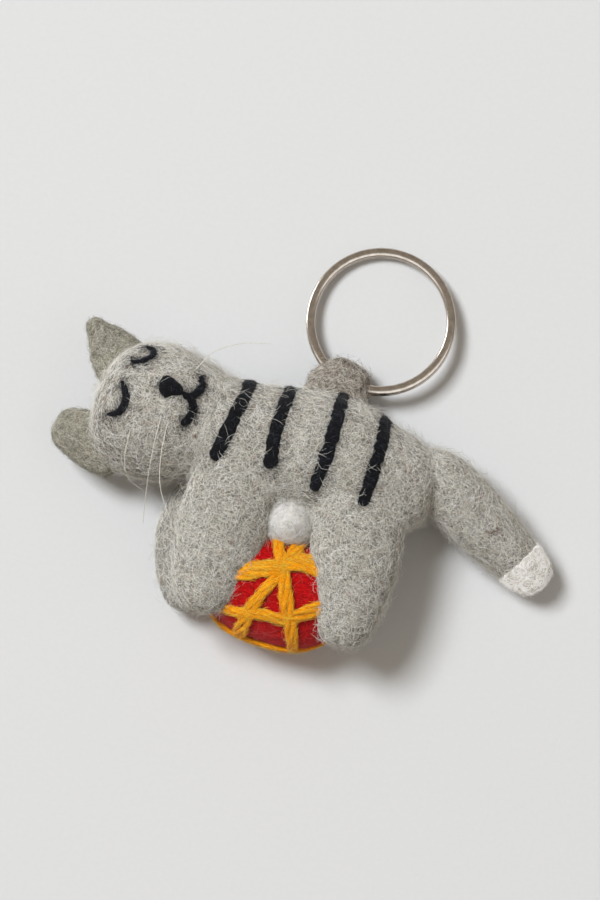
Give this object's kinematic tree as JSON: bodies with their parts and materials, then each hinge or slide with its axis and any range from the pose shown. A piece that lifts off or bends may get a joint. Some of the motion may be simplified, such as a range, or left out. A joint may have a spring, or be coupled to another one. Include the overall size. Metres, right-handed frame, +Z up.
{
  "type": "plush keychain",
  "caption": "Needle-felted wool cat key ring: a grey striped cat lies on its side hugging a wool ball, with a felt strap on its back that holds a split ring.",
  "frame": {"origin": "middle of the whole object's footprint, on the surface that the cat lies on", "axes": "+Z up from that surface, +X from the head to the tail, +Y from the paws to the back and the ring"},
  "size_m": [0.0884, 0.0717, 0.0204],
  "materials": {
    "core_wool": "undyed wool needled to a firm core",
    "grey_wool": "warm grey needle felt with loose surface fibres",
    "ear_wool": "browner grey needle felt",
    "loop_wool": "brownish grey needle felt",
    "black_wool": "black needle felt, slightly fuzzy",
    "white_wool": "off-white needle felt",
    "red_wool": "dense red needle felt",
    "yellow_yarn": "plied golden yellow wool yarn",
    "whisker_thread": "thin pale waxed thread",
    "nickel": "nickel-plated spring steel wire"
  },
  "bodies": {
    "cat": {"body_core": "core_wool", "body_coat": "grey_wool", "head_core": "core_wool", "head_coat": "grey_wool", "left_ear": "ear_wool", "right_ear": "ear_wool", "left_eye": "black_wool", "right_eye": "black_wool", "nose": "black_wool", "mouth": "black_wool", "left_whiskers": "whisker_thread", "right_whiskers": "whisker_thread", "belly_patch": "white_wool", "left_front_leg": "grey_wool", "right_front_leg": "grey_wool", "left_hind_leg": "grey_wool", "right_hind_leg": "grey_wool", "stripe_1": "black_wool", "stripe_2": "black_wool", "stripe_3": "black_wool", "stripe_4": "black_wool", "wool_ball": "red_wool", "ball_yarn": "yellow_yarn", "loop_root": "grey_wool"},
    "tail": {"tail": "grey_wool", "tail_tip": "white_wool"},
    "loop": {"hanging_loop": "loop_wool"},
    "ring": {"split_ring": "nickel"}
  },
  "joints": [
    {"name": "tail_bend", "type": "hinge", "parent": "cat", "child": "tail", "pos_m": [0.01841, 0.00103, 0.0092], "axis": [0, 0, 1], "range_deg": [-10, 14], "stiffness_Nm_per_rad": 0.004},
    {"name": "loop_swing", "type": "hinge", "parent": "cat", "child": "loop", "pos_m": [0.00011, 0.00873, 0.0074], "axis": [0.9755, -0.2199, 0], "range_deg": [-6, 62]},
    {"name": "ring_turn", "type": "hinge", "parent": "loop", "child": "ring", "pos_m": [0.00397, 0.02302, 0.00298], "axis": [-0.0829, 0.1327, 0.9877], "continuous": true}
  ]
}
